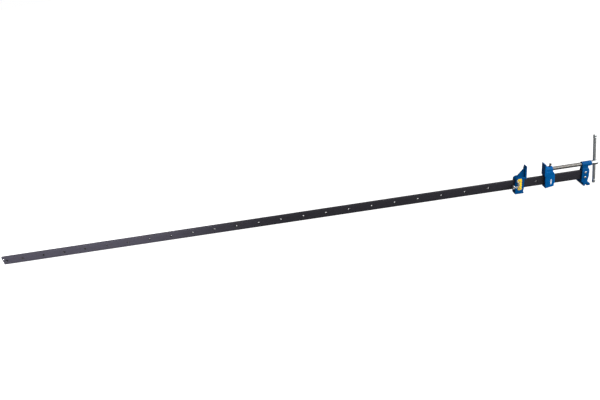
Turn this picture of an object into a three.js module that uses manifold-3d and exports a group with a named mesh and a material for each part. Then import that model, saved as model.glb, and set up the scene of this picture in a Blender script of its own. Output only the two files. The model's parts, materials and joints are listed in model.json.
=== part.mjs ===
// A sash clamp: a long drilled flat bar, a head with a screw, a sliding jaw that the screw
// drives, and a tail jaw that slides along the bar and is held by a pin on a chain.
//
// Millimetres, +Z up. The working coordinates have X along the bar, with X = 0 at the hole
// nearest the screw, Y = 0 at the middle of the bar's thickness and Z = 0 a little above the
// middle of its depth. The whole assembly is then moved so that its origin is on the ground,
// at the middle of its length.
import * as THREE from 'three';
import { mergeVertices } from 'three/addons/utils/BufferGeometryUtils.js';
import Module from 'manifold-3d';

const wasm = await Module();
wasm.setup();

// ---------------------------------------------------------------- driving dimensions

const gap = 0.35; // running clearance between neighbours
const groundZ = -36; // the surface that the feet stand on
const jawHalfWidth = 13;

// bar
const barThickness = 8;
const barDepth = 32;
const barZ = -2.5; // the middle of its depth, and the height of its holes
const barTop = barZ + barDepth / 2;
const barBottom = barZ - barDepth / 2;
const holePitch = 80;
const holeCount = 25;
const firstPitch = 62; // between the far end's hole and the next one
const holeRadius = 3.2;
const endMargin = 15; // from the far end's hole to the bar's end
const farHoleX = -(holeCount - 2) * holePitch - firstPitch;
const barFarEnd = farHoleX - endMargin;
const barHeadEnd = 163;

// stop pin through the bar's far end
const stopInset = 5.5; // from the bar's end
const stopRise = 5; // above the bar's middle
const stopShank = 1.5;
const stopHead = 2.7;
const stopHeadHeight = 1.6;

// screw, hub and tommy bar
const screwZ = 35;
const screwRadius = 6.5;
const screwTipX = 29;
const screwGrooveX = 42.3;
const screwGrooveHalf = 4.2;
const screwGrooveRadius = 4.2;
const hubStart = 177.4;
const hubEnd = 198.5;
const hubRadius = 8;
const tommyX = 187.7;
const tommyTilt = THREE.MathUtils.degToRad(8.5);
const tommyRadius = 4.5;
const tommyAbove = 95; // from the screw's axis to the upper end
const tommyBelow = 70.5;
const capRadius = 5.3;
const capLength = 11;
const capWall = 2.2;

// head
const headLeft = 147;
const headRight = 170.8;
const headBottom = -30;
const headTop = 20;
const headStepTop = 13; // the body's full width ends here
const headHalfWidth = 10;
const headStepHalfWidth = 8.8;
const neckHalfWidth = 7.5;
const bossLeft = 145.5;
const bossRight = 177;
const bossRadius = 9;
const footHalfWidth = 23;
const footLeft = 148;
const footRight = 168.8;
const footTop = -25.5;
const footArchLeft = 153.4; // the foot's underside is hollow between these
const footArchRight = 159.4;
const footArchTop = -28;
const rivetX = 157.6;
const rivetZs = [7, -11];
const rivetShank = 2.5;
const rivetHead = 3.9;
const rivetHeadHeight = 1.6;

// moving jaw
const jawFaceX = 22;
const jawTop = 58.5;
const jawPlateBottom = 15.5;
const jawPlateThickness = 5.3;
const jawBottom = -30;
const jawSetBack = 2.4; // the lower block's face is this far behind the plate's
const jawBackX = 50.3;
const jawCheekX = 57.3; // how far back the lower block reaches, beside the bar
const jawShoulderZ = 29.5; // the top of the lower block
const jawBossRadius = 10.5; // round the screw
const jawRibHalfWidth = 7;
const retainingPinTilt = THREE.MathUtils.degToRad(15);
const retainingPinRadius = 2.9;
const retainingPinCollar = 4; // the collar's radius
const retainingPinTop = 55.5;

// tail jaw
const tailFaceX = -35.6;
const tailPlateTop = 61.5;
const tailPlateBottom = 15;
const tailPlateHalfWidth = 10;
const tailPlateThickness = 6;
const tailPlateTipThickness = 2.8;
const tailRightX = -44.6;
const tailRearX = -73.8;
const tailTop = 24;
const tailCorner = 9.5;
const webHalfWidth = 3.2;
const webLeft = -59; // the slope's lower end
const webLow = 34;
const webRight = -45.6; // the slope's upper end
const webHigh = 49;

// label on the tail jaw
const labelLeft = -65.4;
const labelRight = -53.2;
const labelHalfHeight = 20.7;
const labelCorner = 1.6;
const labelThickness = 0.4;

// locating pin and its ring, in the second hole
const pinX = -holePitch;
const pinRadius = 2.85;
const pinBackY = 9;
const pinShoulderY = -14.6;
const pinFrontY = -21;
const pinEndRadius = 2.65; // the front end is turned down and cross drilled for the ring
const pinEyeRadius = 1.6;
const ringY = -17.4;
const ringRadius = 4.2;
const ringWire = 0.7;
const ringDrop = 3.5; // the ring's middle is this far below the pin's axis
const ringZ = barZ - ringDrop;

// chain
const linkWire = 0.7;
const linkBend = 1.9; // radius of the wire's centre line at a link's end
const linkStretch = 1.15; // half the straight part of a link
const linkHold = 1.4; // from an end link's middle to the wire it is threaded on
const linkCount = 8;
const chainLeaves = THREE.MathUtils.degToRad(-45); // direction in which it leaves the eye
const chainArrives = THREE.MathUtils.degToRad(-10); // side of the ring that it is threaded on
const chainLeavingPull = 16;
const chainArrivingPull = 9;
const chainSag = 0.5; // the chain's middle stands out from its ends by this much
const chainY = -17.2;
const eyeX = -70.5;
const eyeZ = 17.5;
const eyeRadius = 2.6;
const eyeWire = 0.8;
const eyeDepth = 7; // its shank's length inside the jaw

// ---------------------------------------------------------------- materials

function finish(colour, roughness, metalness) {
  return new THREE.MeshStandardMaterial({ color: colour, roughness, metalness });
}

const bluePaint = () => finish(0x0f4f94, 0.45, 0.1);
const barSteel = () => finish(0x3f3e46, 0.6, 0.6);
const brightSteel = () => finish(0xb9bdbd, 0.25, 1.0);
const screwSteel = () => finish(0x8d8880, 0.35, 1.0);
const darkSteel = () => finish(0x4a4a4c, 0.5, 0.9);
const yellowLabel = () => finish(0xf0c81e, 0.5, 0.0);

// ---------------------------------------------------------------- geometry helpers

function solidOf(geometry) {
  const bare = geometry.index ? geometry : geometry.clone();
  bare.deleteAttribute('normal');
  bare.deleteAttribute('uv');
  const merged = mergeVertices(bare, 1e-4);
  return new wasm.Manifold(new wasm.Mesh({
    numProp: 3,
    vertProperties: new Float32Array(merged.attributes.position.array),
    triVerts: new Uint32Array(merged.index.array),
  }));
}

function geometryOf(solid) {
  const mesh = solid.getMesh();
  const geometry = new THREE.BufferGeometry();
  geometry.setAttribute('position', new THREE.BufferAttribute(mesh.vertProperties, 3));
  geometry.setIndex(new THREE.BufferAttribute(mesh.triVerts, 1));
  return geometry;
}

// Joins the solids listed first and cuts the solids listed second out of them.
function shaped(joined, cut = []) {
  let body = solidOf(joined[0]);
  for (const piece of joined.slice(1)) body = body.add(solidOf(piece));
  for (const tool of cut) body = body.subtract(solidOf(tool));
  return geometryOf(body);
}

// An outline drawn in X and Z, given a thickness along Y from y0 to y1.
function slab(outline, y0, y1, curveSegments = 6) {
  const geometry = new THREE.ExtrudeGeometry(outline, {
    depth: y1 - y0,
    bevelEnabled: false,
    curveSegments,
  });
  return geometry.rotateX(Math.PI / 2).translate(0, y1, 0);
}

function block(x0, x1, y0, y1, z0, z1) {
  const geometry = new THREE.BoxGeometry(x1 - x0, y1 - y0, z1 - z0);
  return geometry.translate((x0 + x1) / 2, (y0 + y1) / 2, (z0 + z1) / 2);
}

// Turns a shape made round the Y axis so that +Y points along the direction, and moves it.
function pointed(geometry, direction, at) {
  const turn = new THREE.Quaternion().setFromUnitVectors(
    new THREE.Vector3(0, 1, 0),
    new THREE.Vector3(...direction).normalize(),
  );
  return geometry.applyQuaternion(turn).translate(...at);
}

function rod(radius, from, to, sides = 24) {
  const a = new THREE.Vector3(...from);
  const b = new THREE.Vector3(...to);
  const length = a.distanceTo(b);
  const middle = a.clone().add(b).multiplyScalar(0.5);
  const cylinder = new THREE.CylinderGeometry(radius, radius, length, sides);
  return pointed(cylinder, b.sub(a).toArray(), middle.toArray());
}

// A turned piece: profile points are [radius, distance along the axis], axis end to axis end.
function turned(profile, direction, at, sides = 24) {
  const points = profile.map(([r, along]) => new THREE.Vector2(r, along));
  return pointed(new THREE.LatheGeometry(points, sides), direction, at);
}

// A wire ring in the XZ plane, round the Y axis.
function ring(radius, wire, segments, sides = 8) {
  const points = [];
  for (let i = 0; i <= sides; i++) {
    const angle = (2 * Math.PI * i) / sides;
    points.push(new THREE.Vector2(radius + wire * Math.cos(angle), wire * Math.sin(angle)));
  }
  return new THREE.LatheGeometry(points, segments, Math.PI / segments);
}

function piece(name, geometry, material) {
  const mesh = new THREE.Mesh(geometry, material);
  mesh.name = name;
  return mesh;
}

// ---------------------------------------------------------------- shared cuts

const barSlot = (x0, x1) => block(
  x0,
  x1,
  -barThickness / 2 - gap,
  barThickness / 2 + gap,
  barBottom - gap,
  barTop + gap,
);

// ---------------------------------------------------------------- bar

function makeBar() {
  const outline = new THREE.Shape();
  outline.moveTo(barFarEnd, barBottom);
  outline.lineTo(barHeadEnd, barBottom);
  outline.lineTo(barHeadEnd, barTop);
  outline.lineTo(barFarEnd, barTop);
  outline.closePath();
  const round = (x, z, radius) => {
    const hole = new THREE.Path();
    hole.absarc(x, z, radius, 0, 2 * Math.PI, true);
    outline.holes.push(hole);
  };
  for (let i = 0; i < holeCount - 1; i++) round(-i * holePitch, barZ, holeRadius);
  round(farHoleX, barZ, holeRadius);
  for (const z of rivetZs) round(rivetX, z, rivetShank + gap);
  round(barFarEnd + stopInset, barZ + stopRise, stopShank + gap);
  return piece('bar', slab(outline, -barThickness / 2, barThickness / 2, 10), barSteel());
}

// A profile for turned(), with a shank along the axis and a low domed head at each end.
function headedPin(shank, head, headHeight, reach) {
  return [
    [0, -reach - headHeight],
    [head * 0.6, -reach - headHeight * 0.85],
    [head, -reach],
    [shank, -reach],
    [shank, reach],
    [head, reach],
    [head * 0.6, reach + headHeight * 0.85],
    [0, reach + headHeight],
  ];
}

// A small pin riveted through the bar's far end, which keeps the tail jaw on the bar.
function makeEndStop() {
  const profile = headedPin(stopShank, stopHead, stopHeadHeight, barThickness / 2 + gap);
  const at = [barFarEnd + stopInset, 0, barZ + stopRise];
  return piece('end_stop_pin', turned(profile, [0, 1, 0], at, 16), brightSteel());
}

// ---------------------------------------------------------------- head

function headBody() {
  const outline = new THREE.Shape();
  outline.moveTo(headLeft, headBottom);
  outline.lineTo(headRight - 6.4, headBottom);
  outline.quadraticCurveTo(headRight - 2.9, headBottom + 3, headRight - 2.6, headBottom + 8);
  outline.lineTo(headRight - 0.4, headBottom + 20);
  outline.lineTo(headRight, headStepTop);
  outline.lineTo(headLeft, headStepTop);
  outline.closePath();
  return slab(outline, -headHalfWidth, headHalfWidth);
}

// The narrower step on top of the body.
function headStep() {
  const outline = new THREE.Shape();
  outline.moveTo(headLeft, headStepTop - 1);
  outline.lineTo(headRight, headStepTop - 1);
  outline.quadraticCurveTo(headRight - 0.4, headTop - 1, headRight - 2.9, headTop);
  outline.lineTo(headLeft, headTop);
  outline.closePath();
  return slab(outline, -headStepHalfWidth, headStepHalfWidth);
}

function headNeck() {
  const outline = new THREE.Shape();
  outline.moveTo(headLeft, headTop - 2);
  outline.lineTo(headRight - 1.9, headTop - 2);
  outline.quadraticCurveTo(headRight - 4.6, headTop + 4, headRight - 4.4, headTop + 10);
  outline.lineTo(headRight - 1, screwZ);
  outline.lineTo(headLeft, screwZ);
  outline.closePath();
  return slab(outline, -neckHalfWidth, neckHalfWidth);
}

function headFoot() {
  const archMiddle = (footArchLeft + footArchRight) / 2;
  const outline = new THREE.Shape();
  outline.moveTo(footLeft, groundZ);
  outline.lineTo(footArchLeft, groundZ);
  outline.quadraticCurveTo(footArchLeft + 0.8, footArchTop, archMiddle, footArchTop);
  outline.quadraticCurveTo(footArchRight - 0.8, footArchTop, footArchRight, groundZ);
  outline.lineTo(footRight, groundZ);
  outline.quadraticCurveTo(footRight + 2.7, groundZ + 4, footRight - 0.3, groundZ + 8);
  outline.quadraticCurveTo(footRight - 3.3, footTop, footRight - 5.3, footTop);
  outline.lineTo(headLeft, footTop);
  outline.lineTo(headLeft, groundZ + 2);
  outline.closePath();
  return slab(outline, -footHalfWidth, footHalfWidth);
}

function makeHead() {
  const boss = rod(bossRadius, [bossLeft, 0, screwZ], [bossRight, 0, screwZ], 32);
  const cuts = [
    barSlot(headLeft - 10, barHeadEnd + gap),
    rod(screwRadius + gap, [bossLeft - 5, 0, screwZ], [bossRight + 5, 0, screwZ], 32),
  ];
  for (const z of rivetZs) {
    const reach = headHalfWidth + 5;
    cuts.push(rod(rivetShank + gap, [rivetX, -reach, z], [rivetX, reach, z], 20));
  }
  const solids = [headBody(), headStep(), headNeck(), headFoot(), boss];
  return piece('head_casting', shaped(solids, cuts), bluePaint());
}

function makeRivet(name, z) {
  const profile = headedPin(rivetShank, rivetHead, rivetHeadHeight, headHalfWidth + gap);
  return piece(name, turned(profile, [0, 1, 0], [rivetX, 0, z], 20), brightSteel());
}

// ---------------------------------------------------------------- screw and tommy bar

const tommyAlong = [0, Math.sin(tommyTilt), Math.cos(tommyTilt)];
const onTommy = (distance) => [
  tommyX,
  distance * tommyAlong[1],
  screwZ + distance * tommyAlong[2],
];

// The screw's crests are a plain cylinder here. Its tip turns in the moving jaw, held by the
// retaining pin in a groove, and its hub is bored for the tommy bar.
function makeScrew() {
  const profile = [
    [0, screwTipX],
    [screwRadius - 1.5, screwTipX],
    [screwRadius, screwTipX + 1.5],
    [screwRadius, screwGrooveX - screwGrooveHalf],
    [screwGrooveRadius, screwGrooveX - screwGrooveHalf],
    [screwGrooveRadius, screwGrooveX + screwGrooveHalf],
    [screwRadius, screwGrooveX + screwGrooveHalf],
    [screwRadius, hubStart],
    [hubRadius - 0.8, hubStart],
    [hubRadius, hubStart + 0.8],
    [hubRadius, hubEnd - 1.5],
    [hubRadius - 1.5, hubEnd],
    [0, hubEnd],
  ];
  const body = turned(profile, [1, 0, 0], [0, 0, screwZ], 32);
  const bore = rod(tommyRadius + gap, onTommy(-hubRadius - 4), onTommy(hubRadius + 4), 24);
  return piece('clamp_screw', shaped([body], [bore]), screwSteel());
}

function makeTommyBar() {
  const inCap = capWall + gap;
  const geometry = rod(tommyRadius, onTommy(-tommyBelow + inCap), onTommy(tommyAbove - inCap), 24);
  return piece('tommy_bar', geometry, brightSteel());
}

// A cap pressed over an end of the tommy bar. side is +1 at the upper end, -1 at the lower.
function makeTommyCap(name, side) {
  const end = side > 0 ? tommyAbove : tommyBelow;
  const sleeve = tommyRadius + gap * 0.6;
  const profile = [
    [sleeve, -capLength],
    [capRadius, -capLength + 0.4],
    [capRadius, -1.6],
    [capRadius - 1.6, 0],
    [0, 0],
    [0, -capWall],
    [sleeve, -capWall],
    [sleeve, -capLength],
  ];
  const direction = tommyAlong.map((v) => side * v);
  return piece(name, turned(profile, direction, onTommy(side * end), 24), brightSteel());
}

// ---------------------------------------------------------------- moving jaw

function jawLowerBlock() {
  const left = jawFaceX + jawSetBack;
  const outline = new THREE.Shape();
  outline.moveTo(left + 2.2, jawBottom);
  outline.lineTo(jawCheekX - 4.8, jawBottom + 4.7);
  outline.quadraticCurveTo(jawCheekX - 2.5, jawBottom + 5, jawCheekX - 2.5, jawBottom + 8);
  outline.lineTo(jawCheekX - 2.5, jawBottom + 13);
  outline.lineTo(jawCheekX, jawBottom + 18);
  outline.lineTo(jawCheekX - 1.7, jawShoulderZ - 11.5);
  outline.quadraticCurveTo(jawCheekX - 2.3, jawShoulderZ - 6.5, jawBackX, jawShoulderZ);
  outline.lineTo(left, jawShoulderZ);
  outline.lineTo(left, jawPlateBottom);
  outline.closePath();
  return slab(outline, -jawHalfWidth, jawHalfWidth);
}

// The boss round the screw's end is half round on top of a block, with a rib up to the plate.
function jawBoss() {
  const start = jawFaceX + 1;
  return [
    rod(jawBossRadius, [start, 0, screwZ], [jawBackX, 0, screwZ], 40),
    block(start, jawBackX, -jawBossRadius, jawBossRadius, jawShoulderZ - 2, screwZ),
  ];
}

function jawRib() {
  const back = jawFaceX + jawPlateThickness;
  const bossTop = screwZ + jawBossRadius;
  const outline = new THREE.Shape();
  outline.moveTo(jawFaceX + 1, bossTop - 4);
  outline.lineTo(back + 8, bossTop - 4);
  outline.lineTo(back + 8, bossTop - 0.5);
  outline.quadraticCurveTo(back + 0.5, bossTop + 0.5, back - 1, jawTop - 5);
  outline.lineTo(jawFaceX + 1, jawTop - 5);
  outline.closePath();
  return slab(outline, -jawRibHalfWidth, jawRibHalfWidth);
}

function jawPlate() {
  const back = jawFaceX + jawPlateThickness;
  const outline = new THREE.Shape();
  outline.moveTo(jawFaceX, jawPlateBottom);
  outline.lineTo(back, jawPlateBottom);
  outline.lineTo(back - 0.6, jawTop - 4);
  outline.quadraticCurveTo(back - 1, jawTop, jawFaceX + 2, jawTop);
  outline.lineTo(jawFaceX, jawTop);
  outline.closePath();
  return slab(outline, -jawHalfWidth, jawHalfWidth);
}

const retainingAlong = [Math.sin(retainingPinTilt), 0, Math.cos(retainingPinTilt)];
const retainingFootZ = screwZ + screwGrooveRadius + 1.3;
const onRetainingPin = (distance) => [
  screwGrooveX - 1.2 + distance * retainingAlong[0],
  0,
  retainingFootZ + distance * retainingAlong[2],
];
const retainingPinLength = (retainingPinTop - retainingFootZ) / retainingAlong[2];

function makeMovingJaw() {
  const cuts = [
    barSlot(jawFaceX - 10, jawCheekX + 10),
    rod(screwRadius + gap, [screwTipX - gap, 0, screwZ], [jawCheekX + 10, 0, screwZ], 32),
    rod(retainingPinRadius + gap, onRetainingPin(-3), onRetainingPin(30), 20),
  ];
  const solids = [jawLowerBlock(), ...jawBoss(), jawRib(), jawPlate()];
  return piece('moving_jaw_casting', shaped(solids, cuts), bluePaint());
}

function makeRetainingPin() {
  const l = retainingPinLength;
  const r = retainingPinRadius;
  const profile = [
    [0, 0],
    [r - 0.8, 0],
    [r, 0.8],
    [r, l - 4.6],
    [retainingPinCollar, l - 4.1],
    [retainingPinCollar, l - 1],
    [r, l],
    [0, l],
  ];
  return piece('screw_retaining_pin', turned(profile, retainingAlong, onRetainingPin(0), 20), darkSteel());
}

// ---------------------------------------------------------------- tail jaw

function tailBody() {
  const outline = new THREE.Shape();
  outline.moveTo(tailRearX, groundZ);
  outline.lineTo(tailRightX, groundZ);
  outline.lineTo(tailRightX, groundZ + 3.5);
  outline.quadraticCurveTo(tailRightX - 2.4, groundZ + 7, tailRightX - 1.6, groundZ + 12);
  outline.lineTo(tailRightX, groundZ + 18);
  outline.lineTo(tailRightX, tailTop);
  outline.lineTo(tailRearX + tailCorner, tailTop);
  outline.absarc(tailRearX + tailCorner, tailTop - tailCorner, tailCorner, Math.PI / 2, Math.PI, false);
  outline.closePath();
  return slab(outline, -jawHalfWidth, jawHalfWidth);
}

// The gusset that carries the plate, a straight slope down to the body's rear corner.
function tailWeb() {
  const inPlate = tailFaceX - tailPlateThickness + 1;
  const outline = new THREE.Shape();
  outline.moveTo(webLeft - 4, tailTop - 4);
  outline.lineTo(inPlate, tailTop - 4);
  outline.lineTo(inPlate, tailPlateTop - 7);
  outline.quadraticCurveTo(inPlate - 1.4, webHigh + 3, webRight, webHigh);
  outline.lineTo(webLeft, webLow);
  outline.quadraticCurveTo(webLeft - 4.5, webLow - 4.5, webLeft - 6, tailTop - 1);
  outline.closePath();
  return slab(outline, -webHalfWidth, webHalfWidth);
}

function tailPlate() {
  const back = tailFaceX - tailPlateThickness;
  const tipBack = tailFaceX - tailPlateTipThickness;
  const outline = new THREE.Shape();
  outline.moveTo(tailRightX - 1, tailPlateBottom);
  outline.lineTo(tailFaceX, tailPlateBottom);
  outline.lineTo(tailFaceX, tailPlateTop);
  outline.lineTo(tipBack, tailPlateTop);
  outline.quadraticCurveTo(tipBack - 1.6, tailPlateTop - 1, back, tailPlateTop - 11);
  outline.lineTo(back, tailTop);
  outline.lineTo(tailRightX - 1, tailTop - 2);
  outline.closePath();
  return slab(outline, -tailPlateHalfWidth, tailPlateHalfWidth);
}

function makeTailJaw() {
  const eyeHoleEnd = -jawHalfWidth + eyeDepth + gap;
  const cuts = [
    barSlot(tailRearX - 10, tailFaceX + 10),
    rod(eyeWire + gap, [eyeX, -jawHalfWidth - 2, eyeZ], [eyeX, eyeHoleEnd, eyeZ], 12),
  ];
  return piece('tail_jaw_casting', shaped([tailBody(), tailWeb(), tailPlate()], cuts), bluePaint());
}

function makeLabel() {
  const outline = new THREE.Shape();
  const r = labelCorner;
  const h = labelHalfHeight;
  outline.moveTo(labelLeft + r, -h);
  outline.lineTo(labelRight - r, -h);
  outline.absarc(labelRight - r, -h + r, r, -Math.PI / 2, 0, false);
  outline.lineTo(labelRight, h - r);
  outline.absarc(labelRight - r, h - r, r, 0, Math.PI / 2, false);
  outline.lineTo(labelLeft + r, h);
  outline.absarc(labelLeft + r, h - r, r, Math.PI / 2, Math.PI, false);
  outline.lineTo(labelLeft, -h + r);
  outline.absarc(labelLeft + r, -h + r, r, Math.PI, 1.5 * Math.PI, false);
  const front = -jawHalfWidth - gap;
  return piece('tail_jaw_label', slab(outline, front - labelThickness, front, 4), yellowLabel());
}

// ---------------------------------------------------------------- locating pin and chain

// The pin lies across the bar, behind the tail jaw. Its axis runs towards -Y.
function makeLocatingPin() {
  const profile = [
    [0, -pinBackY],
    [pinRadius - 1.5, -pinBackY],
    [pinRadius, -pinBackY + 2],
    [pinRadius, -pinShoulderY - 0.5],
    [pinRadius - 0.5, -pinShoulderY],
    [pinEndRadius, -pinShoulderY],
    [pinEndRadius, -pinFrontY - 1.4],
    [pinEndRadius - 1.6, -pinFrontY - 0.3],
    [0, -pinFrontY],
  ];
  const body = turned(profile, [0, -1, 0], [pinX, 0, barZ], 24);
  const eye = rod(pinEyeRadius, [pinX - 6, ringY, barZ], [pinX + 6, ringY, barZ], 16);
  return piece('locating_pin', shaped([body], [eye]), brightSteel());
}

function makePinRing() {
  const geometry = ring(ringRadius, ringWire, 24).translate(pinX, ringY, ringZ);
  return piece('pin_ring', geometry, brightSteel());
}

// A screwed eye that holds the chain's first link. Its ring is in the plane X = eyeX.
function makeChainEye() {
  const loop = ring(eyeRadius, eyeWire, 20).rotateZ(Math.PI / 2);
  loop.translate(eyeX, chainY, eyeZ);
  const from = [eyeX, chainY + eyeRadius - 0.3, eyeZ];
  const shank = rod(eyeWire, from, [eyeX, -jawHalfWidth + eyeDepth, eyeZ], 12);
  return piece('chain_eye', shaped([loop, shank]), brightSteel());
}

// The chain hangs from the eye, swings over the label and comes back to the pin's ring. Its
// end links are threaded on the eye and on the ring, so the route starts and ends a little
// outside them.
function chainEnd(x, y, z, reach, angle) {
  return new THREE.Vector3(x + reach * Math.cos(angle), y, z + reach * Math.sin(angle));
}

const fromRing = ringRadius + linkHold;
const chainRoute = new THREE.CubicBezierCurve3(
  chainEnd(eyeX, chainY, eyeZ - eyeRadius, linkHold, chainLeaves),
  chainEnd(eyeX, chainY - chainSag, eyeZ - eyeRadius, linkHold + chainLeavingPull, chainLeaves),
  chainEnd(pinX, ringY - chainSag, ringZ, fromRing + chainArrivingPull, chainArrives),
  chainEnd(pinX, ringY, ringZ, fromRing, chainArrives),
);

function makeLink(index) {
  const at = chainRoute.getPointAt(index / (linkCount - 1));
  const along = chainRoute.getTangentAt(index / (linkCount - 1));
  const geometry = ring(linkBend, linkWire, 12, 6);
  const position = geometry.attributes.position;
  for (let i = 0; i < position.count; i++) {
    const side = Math.sign(position.getX(i));
    position.setX(i, position.getX(i) + side * linkStretch);
  }
  // alternate links lie flat against the jaw and edge on to it
  const flat = index % 2 === 0;
  const outward = new THREE.Vector3(0, 1, 0);
  const across = new THREE.Vector3().crossVectors(along, outward).normalize();
  const normal = flat ? outward : across;
  const side = new THREE.Vector3().crossVectors(along, normal).normalize();
  const square = new THREE.Vector3().crossVectors(side, along).normalize();
  geometry.applyMatrix4(new THREE.Matrix4().makeBasis(along, square, side));
  geometry.translate(at.x, at.y, at.z);
  return piece(`chain_link_${index + 1}`, geometry, brightSteel());
}

// ---------------------------------------------------------------- assembly

const assembly = new THREE.Group();
assembly.add(makeBar(), makeEndStop());
assembly.add(makeHead());
assembly.add(makeRivet('head_rivet_upper', rivetZs[0]), makeRivet('head_rivet_lower', rivetZs[1]));
assembly.add(makeScrew(), makeTommyBar());
assembly.add(makeTommyCap('tommy_cap_upper', 1), makeTommyCap('tommy_cap_lower', -1));
assembly.add(makeMovingJaw(), makeRetainingPin());
assembly.add(makeTailJaw(), makeLabel());
assembly.add(makeLocatingPin(), makePinRing(), makeChainEye());
for (let i = 0; i < linkCount; i++) assembly.add(makeLink(i));

// origin on the ground, at the middle of the length
assembly.position.set(-(barFarEnd + hubEnd) / 2, 0, -groundZ);

export default assembly;
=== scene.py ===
import json
import math

import bmesh
import bpy
import numpy as np
from mathutils import Matrix, Vector, noise


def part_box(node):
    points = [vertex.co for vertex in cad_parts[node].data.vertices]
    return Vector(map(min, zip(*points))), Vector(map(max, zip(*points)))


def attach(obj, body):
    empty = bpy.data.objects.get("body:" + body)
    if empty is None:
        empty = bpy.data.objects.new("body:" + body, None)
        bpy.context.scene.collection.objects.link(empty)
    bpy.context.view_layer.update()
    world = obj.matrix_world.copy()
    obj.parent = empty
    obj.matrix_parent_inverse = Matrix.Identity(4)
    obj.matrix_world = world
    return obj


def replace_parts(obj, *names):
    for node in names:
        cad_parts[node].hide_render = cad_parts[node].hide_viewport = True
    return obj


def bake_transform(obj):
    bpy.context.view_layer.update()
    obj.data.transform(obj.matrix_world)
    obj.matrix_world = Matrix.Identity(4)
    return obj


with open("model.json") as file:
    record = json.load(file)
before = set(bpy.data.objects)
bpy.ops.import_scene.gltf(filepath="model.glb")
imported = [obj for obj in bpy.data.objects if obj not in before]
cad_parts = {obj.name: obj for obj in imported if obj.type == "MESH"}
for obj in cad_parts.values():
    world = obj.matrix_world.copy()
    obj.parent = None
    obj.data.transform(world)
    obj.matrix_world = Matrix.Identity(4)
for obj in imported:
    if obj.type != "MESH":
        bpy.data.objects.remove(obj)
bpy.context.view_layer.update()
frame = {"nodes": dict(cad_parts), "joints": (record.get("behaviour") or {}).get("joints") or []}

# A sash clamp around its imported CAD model. Everything is in metres in the row frame: +X runs
# along the bar towards the screw's hub, +Y across the bar, +Z up, and the ground is at Z = 0.
MM = 0.001
WELD = 0.002 * MM  # points nearer than this are one point

# sizes that the CAD pieces give
BAR_LOW, BAR_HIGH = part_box("bar")
BAR_HALF = (BAR_HIGH.y - BAR_LOW.y) / 2
BAR_MIDDLE_Z = (BAR_HIGH.z + BAR_LOW.z) / 2
HEAD_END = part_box("head_casting")[1].x
JAW_LOW, JAW_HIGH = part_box("moving_jaw_casting")
TAIL_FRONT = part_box("tail_jaw_casting")[0].y
SCREW_LOW, SCREW_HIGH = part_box("clamp_screw")
SCREW_Z = (SCREW_LOW.z + SCREW_HIGH.z) / 2
PIN_LOW, PIN_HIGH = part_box("locating_pin")
LABEL_LOW, LABEL_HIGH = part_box("tail_jaw_label")

# sizes of the bar's holes
HOLE_PITCH = 80 * MM
FIRST_PITCH = 62 * MM
HOLE_COUNT = 25
HOLE_RADIUS = 3.2 * MM
HOLE_CHAMFER = 0.35 * MM
HOLE_BORDER = HOLE_RADIUS + 0.6 * MM  # round a hole, a little past its chamfer
PIN_X = (PIN_LOW.x + PIN_HIGH.x) / 2
LAST_HOLE_X = PIN_X + HOLE_PITCH


# ------------------------------------------------------------------ mesh helpers


def new_object(name, mesh):
    """Puts a mesh, lamp or camera in the scene."""
    piece = bpy.data.objects.new(name, mesh)
    bpy.context.collection.objects.link(piece)
    return piece


def from_bmesh(name, bm):
    """Makes an object of a bmesh, and frees the bmesh."""
    mesh = bpy.data.meshes.new(name)
    bm.normal_update()
    bm.to_mesh(mesh)
    bm.free()
    return new_object(name, mesh)


def smooth(piece, degrees=35):
    """Shades a piece smooth, except over edges sharper than that angle."""
    for polygon in piece.data.polygons:
        polygon.use_smooth = True
    piece.data.set_sharp_from_angle(angle=math.radians(degrees))
    return piece


def apply_modifiers(piece):
    """Replaces a piece's mesh with what its modifiers make of it."""
    graph = bpy.context.evaluated_depsgraph_get()
    mesh = bpy.data.meshes.new_from_object(piece.evaluated_get(graph))
    piece.modifiers.clear()
    piece.data = mesh
    return piece


def subtract(piece, cutter):
    """Cuts one piece out of another, and removes the cutter."""
    cut = piece.modifiers.new("cut", "BOOLEAN")
    cut.operation = "DIFFERENCE"
    cut.solver = "EXACT"
    cut.object = cutter
    apply_modifiers(piece)
    bpy.data.objects.remove(cutter)
    return piece


def turn_to(direction):
    """A rotation that takes +Z to the direction."""
    return Vector((0, 0, 1)).rotation_difference(Vector(direction)).to_matrix().to_4x4()


def lathed(name, profile, at, direction, sides=48):
    """Turns [radius, distance] points round an axis through at. The ends lie on the axis."""
    bm = bmesh.new()
    rings = []
    for radius, along in profile:
        if radius == 0:
            rings.append([bm.verts.new((0, 0, along))])
            continue
        angles = [2 * math.pi * i / sides for i in range(sides)]
        rings.append([bm.verts.new((radius * math.cos(a), radius * math.sin(a), along)) for a in angles])
    for low, high in zip(rings, rings[1:]):
        for i in range(sides):
            j = (i + 1) % sides
            corners = [low[i % len(low)], low[j % len(low)], high[j % len(high)], high[i % len(high)]]
            kept = [v for n, v in enumerate(corners) if v not in corners[:n]]
            if len(kept) > 2:
                bm.faces.new(kept)
    bmesh.ops.recalc_face_normals(bm, faces=bm.faces)
    bm.transform(Matrix.Translation(at) @ turn_to(direction))
    return from_bmesh(name, bm)


def lathed_open(name, profile, at, direction, sides=48):
    """As lathed, for a profile whose first and last points are the same."""
    piece = lathed(name, profile, at, direction, sides)
    bm = bmesh.new()
    bm.from_mesh(piece.data)
    bmesh.ops.remove_doubles(bm, verts=bm.verts, dist=WELD)
    bmesh.ops.recalc_face_normals(bm, faces=bm.faces)
    bm.to_mesh(piece.data)
    bm.free()
    return piece


def principal_axes(node):
    """The middle of a CAD node, and its directions from its longest to its shortest."""
    points = np.array([v.co for v in frame["nodes"][node].data.vertices])
    middle = points.mean(axis=0)
    axes = np.linalg.svd(points - middle, full_matrices=False)[2]
    return Vector(middle), [Vector(axis) for axis in axes]


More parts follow.
